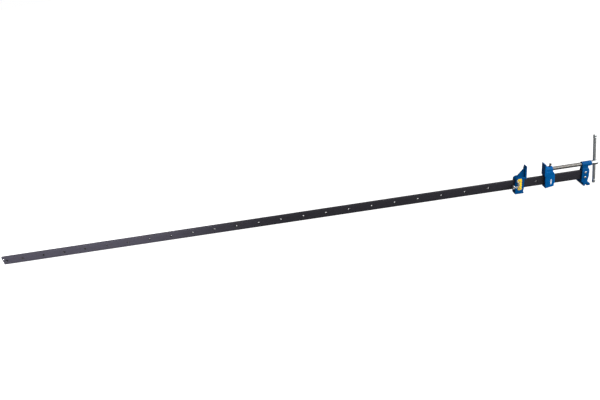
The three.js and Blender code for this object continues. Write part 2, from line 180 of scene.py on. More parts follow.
def long_axis(node):
    """The lower end of a long CAD node, its direction upwards and its length."""
    middle, (direction, _, _) = principal_axes(node)
    if direction.z < 0:
        direction = -direction
    reach = [(v.co - middle).dot(direction) for v in frame["nodes"][node].data.vertices]
    return middle + direction * min(reach), direction, max(reach) - min(reach)


def wire_loop(name, centre, along, across, half_straight, bend, wire, steps=20, sides=12):
    """A closed loop of round wire: two half circles, joined by straights unless they are 0 long."""
    normal = along.cross(across)
    bm = bmesh.new()
    rings = []
    for end in (1, -1):
        for i in range(steps + 1):
            angle = math.pi * (i / steps - 0.5)
            outward = end * (math.cos(angle) * along + math.sin(angle) * across)
            middle = centre + end * half_straight * along + bend * outward
            angles = [2 * math.pi * k / sides for k in range(sides)]
            around = [wire * (math.cos(a) * outward + math.sin(a) * normal) for a in angles]
            rings.append([bm.verts.new(middle + offset) for offset in around])
    for here, there in zip(rings, rings[1:] + rings[:1]):
        for i in range(sides):
            j = (i + 1) % sides
            bm.faces.new((here[i], here[j], there[j], there[i]))
    bmesh.ops.remove_doubles(bm, verts=bm.verts, dist=WELD)
    bmesh.ops.recalc_face_normals(bm, faces=bm.faces)
    return from_bmesh(name, bm)


def bevelled(piece, width, degrees=40):
    """Rounds a piece's sharp edges."""
    bevel = piece.modifiers.new("edges", "BEVEL")
    bevel.width = width
    bevel.segments = 3
    bevel.limit_method = "ANGLE"
    bevel.angle_limit = math.radians(degrees)
    return smooth(apply_modifiers(piece), degrees)


def joined(name, pieces):
    """Makes one object out of several."""
    bm = bmesh.new()
    for piece in pieces:
        bm.from_mesh(piece.data)
        bpy.data.objects.remove(piece)
    return from_bmesh(name, bm)


def plate(name, points, low_y, high_y, bevel=0.0):
    """A flat piece with an outline in X and Z and its thickness along Y."""
    bm = bmesh.new()
    face = bm.faces.new([bm.verts.new((x, low_y, z)) for x, z in points])
    made = bmesh.ops.extrude_face_region(bm, geom=[face])
    moved = [v for v in made["geom"] if isinstance(v, bmesh.types.BMVert)]
    bmesh.ops.translate(bm, verts=moved, vec=(0, high_y - low_y, 0))
    bmesh.ops.recalc_face_normals(bm, faces=bm.faces)
    if bevel:
        bmesh.ops.bevel(bm, geom=bm.edges[:], offset=bevel, segments=3, profile=0.5, affect="EDGES")
    return from_bmesh(name, bm)


def rounded_rectangle(low_x, high_x, low_z, high_z, radius, steps=6):
    """The outline of a rectangle in X and Z with round corners."""
    points = []
    corners = ((high_x, high_z, 0), (low_x, high_z, 1), (low_x, low_z, 2), (high_x, low_z, 3))
    for x, z, quarter in corners:
        centre_x = x - math.copysign(radius, x - (low_x + high_x) / 2)
        centre_z = z - math.copysign(radius, z - (low_z + high_z) / 2)
        for i in range(steps + 1):
            angle = math.pi / 2 * (quarter + i / steps)
            points.append((centre_x + radius * math.cos(angle), centre_z + radius * math.sin(angle)))
    return points


# ------------------------------------------------------------------ materials


class Nodes:
    """A material's node tree, with short calls for what the materials here share."""

    def __init__(self, name):
        self.material = bpy.data.materials.new(name)
        self.material.use_nodes = True
        self.tree = self.material.node_tree
        self.shader = self.tree.nodes["Principled BSDF"]
        self.place = self.add("ShaderNodeTexCoord").outputs["Object"]

    def add(self, kind, **settings):
        node = self.tree.nodes.new(kind)
        for key, value in settings.items():
            setattr(node, key, value)
        return node

    def link(self, source, target):
        self.tree.links.new(source, target)

    def stretched(self, scale, turn=(0, 0, 0)):
        mapping = self.add("ShaderNodeMapping")
        mapping.inputs["Scale"].default_value = scale
        mapping.inputs["Rotation"].default_value = turn
        self.link(self.place, mapping.inputs["Vector"])
        return mapping.outputs["Vector"]

    def noise(self, scale, detail=4.0, roughness=0.55, vector=None):
        node = self.add("ShaderNodeTexNoise")
        node.inputs["Scale"].default_value = scale
        node.inputs["Detail"].default_value = detail
        node.inputs["Roughness"].default_value = roughness
        self.link(vector or self.place, node.inputs["Vector"])
        return node.outputs["Fac"]

    def ramp(self, source, *stops):
        """stops are (position, value or colour)."""
        node = self.add("ShaderNodeValToRGB")
        elements = node.color_ramp.elements
        while len(elements) < len(stops):
            elements.new(0.5)
        for element, (position, colour) in zip(elements, stops):
            element.position = position
            element.color = (*colour, 1) if isinstance(colour, tuple) else (colour, colour, colour, 1)
        self.link(source, node.inputs["Fac"])
        return node.outputs["Color"]

    def mix(self, factor, first, second):
        """Mixes two colours; either may be a socket or a colour."""
        node = self.add("ShaderNodeMix", data_type="RGBA")
        for value, socket in ((factor, node.inputs[0]), (first, node.inputs[6]), (second, node.inputs[7])):
            if isinstance(value, bpy.types.NodeSocket):
                self.link(value, socket)
            else:
                socket.default_value = value if isinstance(value, float) else (*value, 1)
        return node.outputs[2]

    def bump(self, height, strength, distance, below=None):
        node = self.add("ShaderNodeBump")
        node.inputs["Strength"].default_value = strength
        node.inputs["Distance"].default_value = distance
        self.link(height, node.inputs["Height"])
        if below is not None:
            self.link(below, node.inputs["Normal"])
        return node.outputs["Normal"]

    def finish(self, colour=None, roughness=None, normal=None, **fixed):
        for value, socket in ((colour, "Base Color"), (roughness, "Roughness"), (normal, "Normal")):
            if isinstance(value, bpy.types.NodeSocket):
                self.link(value, self.shader.inputs[socket])
            elif value is not None:
                self.shader.inputs[socket].default_value = value if isinstance(value, float) else (*value, 1)
        for socket, value in fixed.items():
            self.shader.inputs[socket.replace("_", " ")].default_value = value
        return self.material


def blue_enamel(name, painted_shade):
    """The castings' paint: thin and thick patches, painted shade in hollows, worn on sharp edges."""
    n = Nodes(name)
    broad = n.noise(45, 3)
    grain = n.noise(900, 5, 0.6)
    edge = n.add("ShaderNodeNewGeometry").outputs["Pointiness"]
    worn = n.ramp(edge, (0.53, 0.0), (0.60, 1.0))
    patchy = n.ramp(n.noise(260, 6, 0.7), (0.50, 0.0), (0.62, 1.0))
    worn_patch = n.add("ShaderNodeMath", operation="MULTIPLY")
    n.link(worn, worn_patch.inputs[0])
    n.link(patchy, worn_patch.inputs[1])
    thin, thick = (0.0002, 0.070, 0.232), (0.0003, 0.086, 0.278)
    # The factor passed in darkens the whole casting's enamel: painted shade, different for each casting.
    stops = [(at, tuple(painted_shade * c for c in tone)) for at, tone in ((0.30, thin), (0.70, thick))]
    paint = n.ramp(broad, *stops)
    # Painted shade: the paint is darkened in hollows, where shade falls.
    hollow_shade = n.ramp(edge, (0.40, (0.30, 0.30, 0.34)), (0.49, (1.0, 1.0, 1.0)))
    shaded = n.add("ShaderNodeMix", data_type="RGBA", blend_type="MULTIPLY")
    shaded.inputs[0].default_value = 0.6
    n.link(paint, shaded.inputs[6])
    n.link(hollow_shade, shaded.inputs[7])
    colour = n.mix(worn_patch.outputs[0], shaded.outputs[2], (0.06, 0.13, 0.26))
    rough = n.ramp(n.noise(140, 4), (0.3, 0.30), (0.7, 0.44))
    skin = n.bump(grain, 0.35, 0.12 * MM)
    skin = n.bump(n.noise(240, 3), 0.5, 0.25 * MM, skin)
    return n.finish(colour, rough, skin, Specular_IOR_Level=0.045)


def mill_steel():
    """The bar: dark rolled steel, with fine marks along it and faint bare spots."""
    n = Nodes("mill_steel")
    streaks = n.noise(60, 5, 0.6, n.stretched((0.6, 14, 14)))
    scratches = n.noise(300, 3, 0.5, n.stretched((0.15, 9, 9)))
    cloud = n.noise(18, 4, 0.6)
    base = n.ramp(streaks, (0.30, (0.0175, 0.0168, 0.0210)), (0.72, (0.0235, 0.0225, 0.0280)))
    brown = n.ramp(n.noise(32, 6, 0.65), (0.52, 0.0), (0.75, 0.35))
    colour = n.mix(brown, base, (0.026, 0.021, 0.019))
    bright = n.ramp(scratches, (0.68, 0.0), (0.78, 0.25))
    colour = n.mix(bright, colour, (0.07, 0.07, 0.08))
    rough = n.ramp(cloud, (0.3, 0.36), (0.7, 0.52))
    skin = n.bump(cloud, 0.15, 0.05 * MM)
    skin = n.bump(scratches, 0.1, 0.02 * MM, skin)
    return n.finish(colour, rough, skin, Metallic=0.1, Specular_IOR_Level=0.12)


def cut_steel():
    """Bare drilled and sawn faces of the bar."""
    n = Nodes("cut_steel")
    rings = n.noise(500, 3, 0.5, n.stretched((1, 8, 1)))
    colour = n.ramp(rings, (0.3, (0.018, 0.017, 0.017)), (0.7, (0.05, 0.048, 0.046)))
    rough = n.ramp(n.noise(200, 3), (0.3, 0.25), (0.7, 0.42))
    return n.finish(colour, rough, n.bump(rings, 0.3, 0.04 * MM), Metallic=1.0)


def bright_plate(name, tone):
    """Zinc or nickel plating, with a faint drawn grain."""
    n = Nodes(name)
    cloud = n.noise(70, 4)
    dull, clean = (0.80 * tone, 0.84 * tone, 0.85 * tone), (1.14 * tone, 1.19 * tone, 1.20 * tone)
    colour = n.ramp(cloud, (0.3, dull), (0.7, clean))
    rough = n.ramp(n.noise(220, 5, 0.6), (0.3, 0.13), (0.7, 0.24))
    return n.finish(colour, rough, n.bump(n.noise(1500, 3), 0.12, 0.02 * MM), Metallic=1.0)


def greased_steel():
    """The screw's thread: turned steel with grease stains, darker in the roots as grime and painted shade.
    """
    n = Nodes("greased_steel")
    edge = n.add("ShaderNodeNewGeometry").outputs["Pointiness"]
    # Darker where the thread's roots are concave: grime and painted shade.
    colour = n.ramp(edge, (0.44, (0.075, 0.07, 0.065)), (0.52, (0.19, 0.187, 0.18)))
    stain = n.ramp(n.noise(120, 5, 0.6), (0.45, 0.0), (0.7, 0.5))
    colour = n.mix(stain, colour, (0.14, 0.115, 0.09))
    rough = n.ramp(n.noise(300, 4), (0.3, 0.14), (0.7, 0.28))
    return n.finish(colour, rough, n.bump(n.noise(900, 3), 0.15, 0.03 * MM), Metallic=1.0)


def black_steel():
    """The retaining pin: blackened steel."""
    n = Nodes("black_steel")
    cloud = n.noise(260, 5, 0.6)
    colour = n.ramp(cloud, (0.3, (0.05, 0.05, 0.052)), (0.7, (0.13, 0.13, 0.13)))
    rough = n.ramp(cloud, (0.3, 0.32), (0.7, 0.55))
    return n.finish(colour, rough, n.bump(cloud, 0.3, 0.08 * MM), Metallic=0.9)


def yellow_film():
    """The label: yellow film, a little uneven."""
    n = Nodes("yellow_film")
    cloud = n.noise(90, 4)
    colour = n.ramp(cloud, (0.3, (0.80, 0.52, 0.006)), (0.7, (0.92, 0.62, 0.012)))
    rough = n.ramp(n.noise(400, 3), (0.3, 0.28), (0.7, 0.42))
    return n.finish(colour, rough, n.bump(n.noise(300, 2), 0.15, 0.05 * MM), Specular_IOR_Level=0.12)


def printing_ink(name, dark, light):
    """Ink or marking paint, speckled between two tones."""
    n = Nodes(name)
    speckle = n.noise(1400, 4, 0.6)
    colour = n.ramp(speckle, (0.3, dark), (0.7, light))
    rough = n.ramp(speckle, (0.3, 0.40), (0.7, 0.55))
    return n.finish(colour, rough, n.bump(speckle, 0.2, 0.02 * MM))


# One enamel, darkened per casting as painted shade: the head and tail jaw darker than the moving jaw.
BLUE_HEAD = blue_enamel("blue_head", 0.76)
BLUE_JAW = blue_enamel("blue_jaw", 1.0)
BLUE_TAIL = blue_enamel("blue_tail", 0.72)
MILL = mill_steel()
CUT = cut_steel()
PLATED = bright_plate("plated_steel", 0.54)
HUB_PLATE = bright_plate("hub_plate", 0.42)
ZINC = bright_plate("bright_zinc", 0.62)
GREASED = greased_steel()
BLACKENED = black_steel()
YELLOW = yellow_film()
GREY_INK = printing_ink("grey_ink", (0.10, 0.10, 0.09), (0.17, 0.16, 0.13))
WHITE_INK = printing_ink("white_ink", (0.62, 0.64, 0.68), (0.80, 0.81, 0.84))


def painted(piece, material):
    """Gives a piece its material."""
    piece.data.materials.clear()
    piece.data.materials.append(material)


def dressed(piece, material, body):
    """As painted, and lets the piece ride on a body."""
    painted(piece, material)
    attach(piece, body)


# ------------------------------------------------------------------ castings


CAST_VOXEL = 0.6 * MM
CAST_ROUNDING = 9  # smoothing steps: they round the edges and fill the corners
PARTING_HALF_WIDTH = 0.7 * MM
PARTING_HEIGHT = 0.22 * MM
SAND_DEPTH = 0.06 * MM
SAND_LONG_WAVE = 5 * MM
SAND_SHORT_WAVE = 1.7 * MM
SLOT_MARGIN = 1 * MM  # the bar's slot reaches this far past the bar


def cast_from(node, name, body, paint):
    """A casting: the CAD solid with rounded edges, filleted corners, the faint waviness of
    its sand mould and the ridge that the mould's two halves leave at its middle."""
    piece = new_object(name, frame["nodes"][node].data.copy())
    bm = bmesh.new()
    bm.from_mesh(piece.data)
    bmesh.ops.remove_doubles(bm, verts=bm.verts, dist=0.005 * MM)
    bm.to_mesh(piece.data)
    bm.free()
    remesh = piece.modifiers.new("remesh", "REMESH")
    remesh.mode = "VOXEL"
    remesh.voxel_size = CAST_VOXEL
    rounding = piece.modifiers.new("rounding", "SMOOTH")
    rounding.factor = 0.5
    rounding.iterations = CAST_ROUNDING
    apply_modifiers(piece)
    low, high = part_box(node)
    bm = bmesh.new()
    bm.from_mesh(piece.data)
    bm.normal_update()
    shifts = []
    for v in bm.verts:
        wave = noise.noise(v.co / SAND_LONG_WAVE) + 0.6 * noise.noise(v.co / SAND_SHORT_WAVE)
        shift = SAND_DEPTH * (wave - 0.8)
        across = abs(v.co.y) / PARTING_HALF_WIDTH
        beside_bar = abs(v.co.y) < BAR_HALF + SLOT_MARGIN
        in_slot = beside_bar and BAR_LOW.z - SLOT_MARGIN < v.co.z < BAR_HIGH.z + SLOT_MARGIN
        if across < 1 and abs(v.normal.y) < 0.3 and not in_slot:
            shift += PARTING_HEIGHT * (1 - across * across)
        shifts.append(v.normal * shift)
    for v, shift in zip(bm.verts, shifts):
        v.co += shift
        v.co.x = min(max(v.co.x, low.x), high.x)
        v.co.z = min(max(v.co.z, low.z), high.z)
    bm.to_mesh(piece.data)
    bm.free()
    for polygon in piece.data.polygons:
        polygon.use_smooth = True
    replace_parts(piece, node)
    dressed(piece, paint, body)


MARK_X = JAW_LOW.x + 22.3 * MM
MARK_TOP = BAR_MIDDLE_Z + 3.5 * MM
MARK_HALF_WIDTH = 2.4 * MM
MARK_HEIGHTS = (3.4 * MM, 2.6 * MM, 3.6 * MM, 2.8 * MM)
MARK_GAP = 1.5 * MM
MARK_CORNER = 0.7 * MM


def make_jaw_mark():
    """White painted blocks in a column on the moving jaw's front, in place of a name."""
    front, back = JAW_LOW.y - 0.18 * MM, JAW_LOW.y + 0.3 * MM
    low_x, high_x = MARK_X - MARK_HALF_WIDTH, MARK_X + MARK_HALF_WIDTH
    z = MARK_TOP
    blocks = []
    for i, height in enumerate(MARK_HEIGHTS):
        outline = rounded_rectangle(low_x, high_x, z - height, z, MARK_CORNER)
        blocks.append(plate(f"block_{i}", outline, front, back))
        z -= height + MARK_GAP
    mark = smooth(joined("jaw_mark", blocks))
    dressed(mark, WHITE_INK, "moving_jaw")


# ------------------------------------------------------------------ bar


BAR_CORNER = 0.9 * MM
DRILL_OVERSHOOT = 1 * MM


def make_bar():
    """The bar with rounded rolled edges and 25 drilled, deburred holes."""
    section = rounded_rectangle(-BAR_HALF, BAR_HALF, BAR_LOW.z, BAR_HIGH.z, BAR_CORNER, 5)
    bm = bmesh.new()
    face = bm.faces.new([bm.verts.new((BAR_LOW.x, y, z)) for y, z in section])
    made = bmesh.ops.extrude_face_region(bm, geom=[face])
    moved = [v for v in made["geom"] if isinstance(v, bmesh.types.BMVert)]
    bmesh.ops.translate(bm, verts=moved, vec=(BAR_HIGH.x - BAR_LOW.x, 0, 0))
    bmesh.ops.recalc_face_normals(bm, faces=bm.faces)
    bar = from_bmesh("drilled_bar", bm)
    far_hole_x = LAST_HOLE_X - (HOLE_COUNT - 2) * HOLE_PITCH - FIRST_PITCH
    places = [LAST_HOLE_X - i * HOLE_PITCH for i in range(HOLE_COUNT - 1)] + [far_hole_x]
    reach = BAR_HALF + DRILL_OVERSHOOT
    flare = HOLE_RADIUS + HOLE_CHAMFER + DRILL_OVERSHOOT
    profile = [
        (0, -reach),
        (flare, -reach),
        (HOLE_RADIUS, -BAR_HALF + HOLE_CHAMFER),
        (HOLE_RADIUS, BAR_HALF - HOLE_CHAMFER),
        (flare, reach),
        (0, reach),
    ]
    drills = [
        lathed(f"drill_{i}", profile, (x, 0, BAR_MIDDLE_Z), (0, 1, 0), 40)
        for i, x in enumerate(places)
    ]
    subtract(bar, joined("drills", drills))
    smooth(bar, 30)
    dressed(bar, MILL, "frame")
    bar.data.materials.append(CUT)
    for polygon in bar.data.polygons:
        centre = polygon.center
        nearest = min(abs(centre.x - x) for x in places)
        in_hole = nearest < HOLE_BORDER and abs(centre.z - BAR_MIDDLE_Z) < HOLE_BORDER
        faces_along = abs(polygon.normal.x) > 0.9
        if faces_along or (in_hole and abs(polygon.normal.y) < 0.9):
            polygon.material_index = 1
    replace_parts(bar, "bar")


# ------------------------------------------------------------------ screw and tommy bar


LEAD = 4 * MM
CREST_RADIUS = 6.45 * MM
ROOT_RADIUS = 5.7 * MM
CREST_SHARE = 0.36  # shares of the thread's pitch
FLANK_SHARE = 0.14
THREAD_COLUMNS = 48


def thread_radius(phase):
    """The thread's radius at a phase from 0 to 1 of its pitch: crest, flank, root, flank."""
    depth = CREST_RADIUS - ROOT_RADIUS
    if phase < CREST_SHARE:
        return CREST_RADIUS
    if phase < CREST_SHARE + FLANK_SHARE:
        return CREST_RADIUS - depth * (phase - CREST_SHARE) / FLANK_SHARE
    if phase < 1 - FLANK_SHARE:
        return ROOT_RADIUS
    return ROOT_RADIUS + depth * (phase - 1 + FLANK_SHARE) / FLANK_SHARE


def make_thread(start, end):
    """A right-hand thread from start to end along X, one closed surface."""
    root_start, root_end = CREST_SHARE + FLANK_SHARE, 1 - FLANK_SHARE
    stops = (0, CREST_SHARE, root_start, (root_start + root_end) / 2, root_end)
    turns = math.ceil((end - start) / LEAD) + 2
    rows = [turn + stop for turn in range(turns) for stop in stops]
    per_turn = len(stops)
    bm = bmesh.new()
    grid = []
    for row in rows:
        line = []
        for j in range(THREAD_COLUMNS):
            share = j / THREAD_COLUMNS
            x = start + (row - 1 + share) * LEAD
            radius = thread_radius(row % 1)
            if not start < x < end:
                x = min(max(x, start), end)
                radius = ROOT_RADIUS
            angle = 2 * math.pi * share
            y, z = radius * math.cos(angle), SCREW_Z + radius * math.sin(angle)
            line.append(bm.verts.new((x, y, z)))
        grid.append(line)
    for i in range(len(grid) - 1):
        for j in range(THREAD_COLUMNS):
            if j + 1 < THREAD_COLUMNS:
                corners = [grid[i][j], grid[i][j + 1], grid[i + 1][j + 1], grid[i + 1][j]]
            elif i + 1 + per_turn < len(grid):
                corners = [grid[i][j], grid[i + per_turn][0], grid[i + 1 + per_turn][0], grid[i + 1][j]]
            else:
                continue
            bm.faces.new(corners)
    return bm


THREAD_START = JAW_HIGH.x - 6 * MM  # inside the moving jaw, where the plain tip ends
THREAD_END = HEAD_END - 0.8 * MM  # inside the head's boss at rest, 1.25 mm short of the hub
TIP_RADIUS = 6.3 * MM
GROOVE_RADIUS = 4.2 * MM
GROOVE_START = 9.3 * MM  # from the screw's tip
GROOVE_END = 17.3 * MM


def make_screw():
    """The threaded rod, with its plain tip and the groove that the retaining pin sits in."""
    thread = make_thread(THREAD_START, THREAD_END)
    bmesh.ops.remove_doubles(thread, verts=thread.verts, dist=WELD)
    bmesh.ops.dissolve_degenerate(thread, edges=thread.edges, dist=WELD)
    bmesh.ops.holes_fill(thread, edges=[e for e in thread.edges if e.is_boundary])
    bmesh.ops.recalc_face_normals(thread, faces=thread.faces)
    thread = from_bmesh("screw_thread", thread)
    length = THREAD_START - SCREW_LOW.x
    profile = [
        (0, 0),
        (TIP_RADIUS - 1.3 * MM, 0),
        (TIP_RADIUS, 1.3 * MM),
        (TIP_RADIUS, GROOVE_START - 0.2 * MM),
        (GROOVE_RADIUS, GROOVE_START),
        (GROOVE_RADIUS, GROOVE_END),
        (TIP_RADIUS, GROOVE_END + 0.2 * MM),
        (TIP_RADIUS, length - 0.8 * MM),
        (TIP_RADIUS - 1.1 * MM, length + 0.3 * MM),
        (0, length + 0.3 * MM),
    ]
    tip = lathed("tip", profile, (SCREW_LOW.x, 0, SCREW_Z), (1, 0, 0))
    screw = smooth(joined("screw_thread", [thread, tip]), 40)
    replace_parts(screw, "clamp_screw")
    dressed(screw, GREASED, "screw")


def tommy_axis():
    """The tommy bar's direction and the middle of its hole in the hub."""
    joint = next(j for j in frame["joints"] if j["name"] == "tommy_slide")
    low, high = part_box("tommy_bar")
    return Vector(joint["axis"]).normalized(), Vector(((low.x + high.x) / 2, 0, SCREW_Z))


HUB_START = HEAD_END + 0.45 * MM
HUB_BORE_RADIUS = 4.8 * MM
HUB_COLLAR = 3.2 * MM  # where the full width starts


def make_hub():
    """The hub on the screw's outer end, with the hole that the tommy bar slides in."""
    length = SCREW_HIGH.x - HUB_START
    radius = (SCREW_HIGH.z - SCREW_LOW.z) / 2
    profile = [
        (0, 0),
        (radius - 1.6 * MM, 0),
        (radius - 0.9 * MM, 0.3 * MM),
        (radius - 0.9 * MM, HUB_COLLAR - 0.6 * MM),
        (radius - 0.3 * MM, HUB_COLLAR),
        (radius, HUB_COLLAR + 0.5 * MM),
        (radius, HUB_COLLAR + 0.7 * MM),
        (radius, length - 2.4 * MM),
        (radius, length - 2.2 * MM),
        (radius - 0.35 * MM, length - 1.3 * MM),
        (radius - 1.1 * MM, length - 0.5 * MM),
        (radius - 2.4 * MM, length),
        (0, length),
    ]
    hub = lathed("screw_hub", profile, (HUB_START, 0, SCREW_Z), (1, 0, 0), 64)
    direction, middle = tommy_axis()
    reach = radius + 4 * MM
    bore = [(0, -reach), (HUB_BORE_RADIUS, -reach), (HUB_BORE_RADIUS, reach), (0, reach)]
    subtract(hub, lathed("bore", bore, middle, direction, 48))
    bevelled(hub, 0.35 * MM)
    dressed(hub, HUB_PLATE, "screw")


def make_tommy_bar():
    """The plain rod that slides in the hub. Its ends lie inside the caps."""
    direction, _ = tommy_axis()
    low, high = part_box("tommy_bar")
    half = (high.z - low.z) / 2 / direction.z - 0.6 * MM
    centre = Vector(((low.x + high.x) / 2, (low.y + high.y) / 2, (low.z + high.z) / 2))
    radius = (high.x - low.x) / 2
    profile = [
        (0, -half),
        (radius - 0.8 * MM, -half),
        (radius, -half + 0.8 * MM),
        (radius, half - 0.8 * MM),
        (radius - 0.8 * MM, half),
        (0, half),
    ]
    bar = smooth(lathed("tommy_rod", profile, centre, direction, 48))
    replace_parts(bar, "tommy_bar")
    dressed(bar, PLATED, "tommy")


CAP_LENGTH = 11 * MM
CAP_BORE_RADIUS = 4.72 * MM
CAP_END = 2.2 * MM  # thickness of its closed end
CAP_RIM = 0.3 * MM  # how far the rolled rim stands out


def make_tommy_cap(node, side):
    """A pressed cap on the rod's end: a sleeve with a rolled rim and a rounded end."""
    direction, _ = tommy_axis()
    low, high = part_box(node)
    centre = (low + high) / 2
    rim = (high.x - low.x) / 2
    sleeve = rim - CAP_RIM
    profile = [
        (CAP_BORE_RADIUS, -CAP_LENGTH),
        (rim - 0.3 * MM, -CAP_LENGTH),
        (rim, -CAP_LENGTH + 0.3 * MM),
        (rim, -CAP_LENGTH + 1.2 * MM),
        (sleeve, -CAP_LENGTH + 1.5 * MM),
        (sleeve, -CAP_LENGTH + 1.7 * MM),
        (sleeve, -2.0 * MM),
        (sleeve, -1.8 * MM),
        (sleeve - 0.3 * MM, -0.8 * MM),
        (sleeve - 1.0 * MM, -0.2 * MM),
        (sleeve - 2.0 * MM, 0),
        (0, 0),
        (0, -CAP_END),
        (CAP_BORE_RADIUS, -CAP_END),
        (CAP_BORE_RADIUS, -CAP_LENGTH),
    ]
    outward = direction * side
    end = centre + outward * CAP_LENGTH / 2
    cap = lathed_open(f"{node}_shell", profile, end, outward)
    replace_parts(cap, node)
    dressed(smooth(cap, 50), ZINC, "tommy")


# ------------------------------------------------------------------ pins, rivets and chain


RIVET_SHANK = 2.5 * MM
STOP_SHANK = 1.5 * MM
RIVET_HEAD_HEIGHT = 1.6 * MM
RIVET_HEAD_EDGE = 0.25 * MM


def make_rivet(node, shank):
    """A snap-head rivet, through the head or through the bar's far end."""
    low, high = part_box(node)
    centre = (low + high) / 2
    reach = (high.y - low.y) / 2
    head = (high.x - low.x) / 2
    under = reach - RIVET_HEAD_HEIGHT
    rise = RIVET_HEAD_HEIGHT - RIVET_HEAD_EDGE
    dome = [
        (head * math.cos(a), under + RIVET_HEAD_EDGE + rise * math.sin(a))
        for a in (math.radians(10 * i) for i in range(9))
    ]
    half = [(shank, under), (head, under), *dome, (0, reach)]
    profile = [(r, -along) for r, along in reversed(half)] + half
    rivet = smooth(lathed(f"{node}_snap", profile, centre, (0, 1, 0), 40))
    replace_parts(rivet, node)
    dressed(rivet, PLATED, "frame")


def make_retaining_pin():
    """The headed pin that leans on top of the moving jaw and holds the screw's tip."""
    foot, direction, length = long_axis("screw_retaining_pin")
    shank, collar = 2.9 * MM, 4 * MM
    profile = [
        (0, 0),
        (shank - 0.8 * MM, 0),
        (shank, 0.8 * MM),
        (shank, length - 5.0 * MM),
        (collar - 0.5 * MM, length - 4.6 * MM),
        (collar, length - 4.2 * MM),
        (collar, length - 1.9 * MM),
        (collar - 0.5 * MM, length - 1.3 * MM),
        (shank, length - 0.5 * MM),
        (shank - 0.9 * MM, length),
        (0, length),
    ]
    pin = smooth(lathed("retaining_pin", profile, foot, direction))
    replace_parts(pin, "screw_retaining_pin")
    dressed(pin, BLACKENED, "moving_jaw")


PIN_SHOULDER = 6.4 * MM  # from the pin's front end
PIN_END_RADIUS = 2.65 * MM
PIN_EYE_RADIUS = 1.6 * MM


def make_locating_pin():
    """The pin across the bar, with a turned-down end that is cross drilled for the ring."""
    radius = (PIN_HIGH.x - PIN_LOW.x) / 2
    length = PIN_HIGH.y - PIN_LOW.y
    shoulder = length - PIN_SHOULDER
    end = PIN_END_RADIUS
    profile = [
        (0, 0),
        (radius - 1.5 * MM, 0),
        (radius - 0.3 * MM, 1.4 * MM),
        (radius, 2.2 * MM),
        (radius, shoulder - 0.4 * MM),
        (radius - 0.15 * MM, shoulder),
        (end, shoulder + 0.15 * MM),
        (end, length - 1.6 * MM),
        (end - 0.5 * MM, length - 0.7 * MM),
        (end - 1.6 * MM, length),
        (0, length),
    ]
    pin = lathed("pin", profile, (PIN_X, PIN_HIGH.y, BAR_MIDDLE_Z), (0, -1, 0))
    ring_low, ring_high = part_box("pin_ring")
    reach = radius + 3 * MM
    drill = [(0, -reach), (PIN_EYE_RADIUS, -reach), (PIN_EYE_RADIUS, reach), (0, reach)]
    at = (PIN_X, (ring_low.y + ring_high.y) / 2, BAR_MIDDLE_Z)
    subtract(pin, lathed("pin_drill", drill, at, (1, 0, 0), 32))
    bevelled(pin, 0.15 * MM)
    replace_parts(pin, "locating_pin")
    dressed(pin, ZINC, "pin")


CHAIN_WIRE = 0.7 * MM
RING_BEND = 4.2 * MM
LINK_BEND = 1.9 * MM
LINK_STRAIGHT = 1.15 * MM  # half the straight part
LINK_NODES = [f"chain_link_{i + 1}" for i in range(8)]
EYE_WIRE = 0.8 * MM


def make_ring():
    """The ring through the pin's cross hole, on which the chain hangs."""
    middle, (along, across, _) = principal_axes("pin_ring")
    ring = smooth(wire_loop("ring", middle, along, across, 0, RING_BEND, CHAIN_WIRE, 32))
    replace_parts(ring, "pin_ring")
    dressed(ring, ZINC, "pin")


def make_eye():
    """The screwed eye on the tail jaw that holds the chain."""
    low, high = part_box("chain_eye")
    bend = (high.z - low.z) / 2 - EYE_WIRE
    centre = Vector(((low.x + high.x) / 2, low.y + bend + EYE_WIRE, (low.z + high.z) / 2))
    loop = wire_loop("eye_loop", centre, Vector((0, 1, 0)), Vector((0, 0, 1)), 0, bend, EYE_WIRE)
    start = centre + Vector((0, bend - 0.3 * MM, 0))
    length = high.y - start.y
    profile = [(0, 0), (EYE_WIRE, 0), (EYE_WIRE, length - 0.5 * MM), (0, length)]
    eye = smooth(joined("eye", [loop, lathed("eye_shank", profile, start, (0, 1, 0), 20)]), 50)
    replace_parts(eye, "chain_eye")
    dressed(eye, ZINC, "tail_jaw")


def make_chain():
    """Eight wire links, which hang between the tail jaw and the pin's ring."""
    links = []
    for node in LINK_NODES:
        middle, (along, across, _) = principal_axes(node)
        links.append(wire_loop(node, middle, along, across, LINK_STRAIGHT, LINK_BEND, CHAIN_WIRE))
    chain = smooth(joined("chain", links), 50)
    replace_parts(chain, *LINK_NODES)
    painted(chain, ZINC)
    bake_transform(chain)


# ------------------------------------------------------------------ label


LABEL_CORNER = 1.6 * MM


def make_label():
    """The yellow label on the tail jaw."""
    outline = rounded_rectangle(LABEL_LOW.x, LABEL_HIGH.x, LABEL_LOW.z, LABEL_HIGH.z, LABEL_CORNER)
    label = plate("label_film", outline, LABEL_HIGH.y, TAIL_FRONT + 0.2 * MM, 0.05 * MM)
    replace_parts(smooth(label, 30), "tail_jaw_label")
    dressed(label, YELLOW, "tail_jaw")


